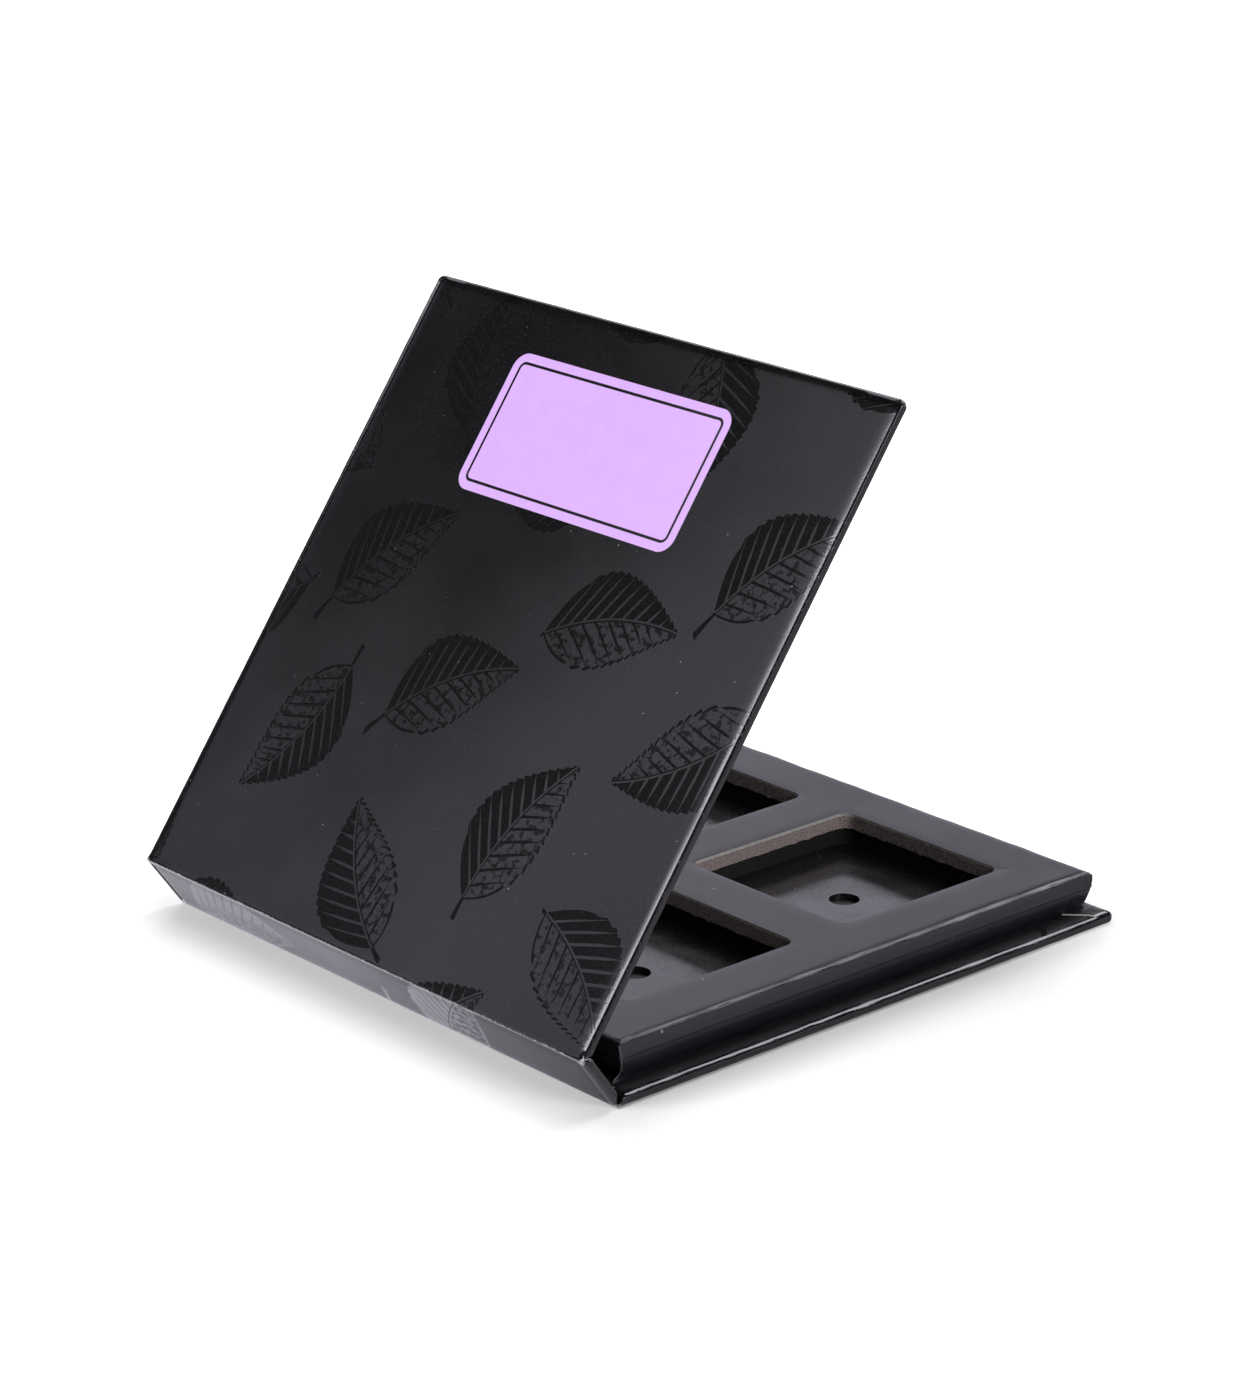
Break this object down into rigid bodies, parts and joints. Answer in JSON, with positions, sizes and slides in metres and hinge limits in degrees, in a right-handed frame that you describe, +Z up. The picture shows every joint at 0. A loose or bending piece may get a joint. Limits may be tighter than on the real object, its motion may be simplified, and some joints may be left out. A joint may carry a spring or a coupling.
{
  "type": "magnetic makeup palette",
  "caption": "Book-style board palette with a wrapped spine, a half-open lid and a tray of square magnetic wells for make-up pans.",
  "frame": {"origin": "middle of the base panel's underside, on the table", "axes": "+Z up; +Y towards the spine at the back; X along the folds"},
  "size_m": [0.085, 0.0905, 0.0762],
  "materials": {
    "printed_paper": "matte laminated, with gloss spot varnish",
    "tray_paper": "satin",
    "lining_paper": "matte",
    "grey_board": "raw, fibrous",
    "black_board": "matte",
    "magnet_sheet": "gloss film",
    "magnet": "nickel plated"
  },
  "bodies": {
    "base": {"base_board": "grey_board", "base_wrap": "printed_paper", "base_liner": "lining_paper", "magnet_sheet": "magnet_sheet", "spacer_frame": "black_board", "tray_top_board": "grey_board", "tray_wrap": "tray_paper", "tray_magnet_left": "magnet", "tray_magnet_right": "magnet"},
    "spine": {"spine_board": "grey_board", "spine_wrap": "printed_paper", "spine_liner": "lining_paper"},
    "lid": {"lid_board": "grey_board", "lid_wrap": "printed_paper", "lid_liner": "lining_paper", "lid_magnet_left": "magnet", "lid_magnet_right": "magnet"}
  },
  "joints": [
    {"name": "spine_fold", "type": "hinge", "parent": "base", "child": "spine", "pos_m": [0, 0.0425, 0.0003], "axis": [-1, 0, 0], "range_deg": [-36, 54]},
    {"name": "lid_fold", "type": "hinge", "parent": "spine", "child": "lid", "pos_m": [0, 0.04767, 0.00742], "axis": [-1, 0, 0], "range_deg": [-18, 72]}
  ]
}
